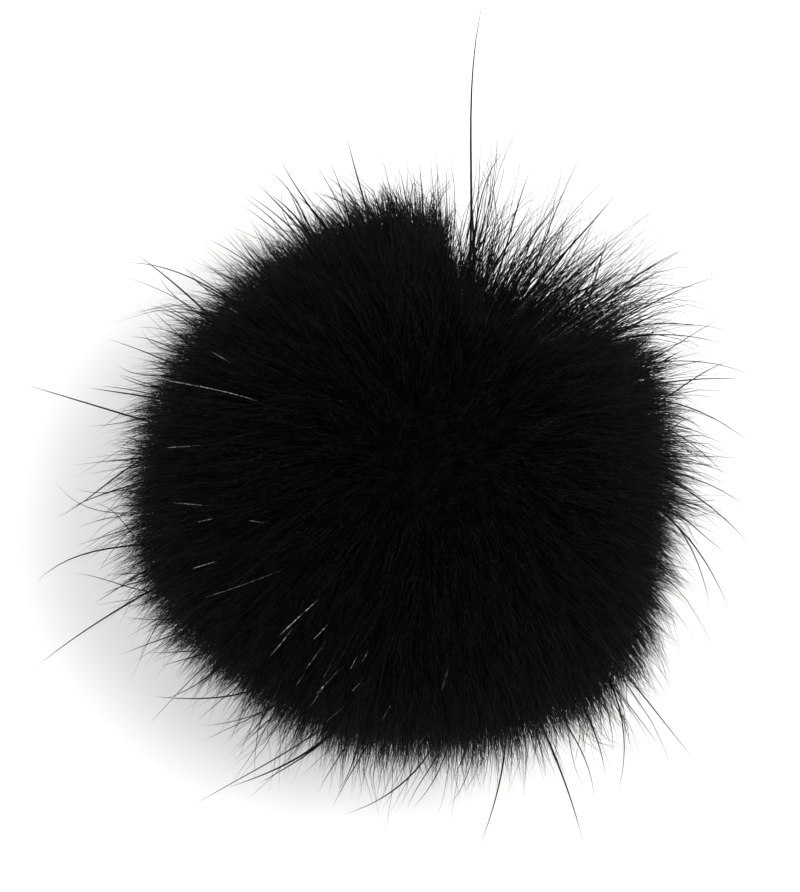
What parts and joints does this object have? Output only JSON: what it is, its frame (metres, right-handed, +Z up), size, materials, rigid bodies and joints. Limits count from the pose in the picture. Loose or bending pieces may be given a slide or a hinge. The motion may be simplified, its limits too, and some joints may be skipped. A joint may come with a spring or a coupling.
{
  "type": "fur pom pom",
  "caption": "Ball pom pom of short black fur with a parting on one side and long stray guard hairs, to sew on a hat, bag or garment.",
  "frame": {"origin": "middle of the flat base that the ball lies on, where its skin is drawn in and it is sewn on", "axes": "+Z up, through the ball to near the crown of its fur; +Y to the side with the parting and the long stray hair; +X to the right of that"},
  "size_m": [0.091, 0.1051, 0.069],
  "materials": {
    "black_fur": "soft short fur with a faint gloss along its hairs"
  },
  "bodies": {
    "root": {"fur_ball": "black_fur"}
  },
  "joints": []
}
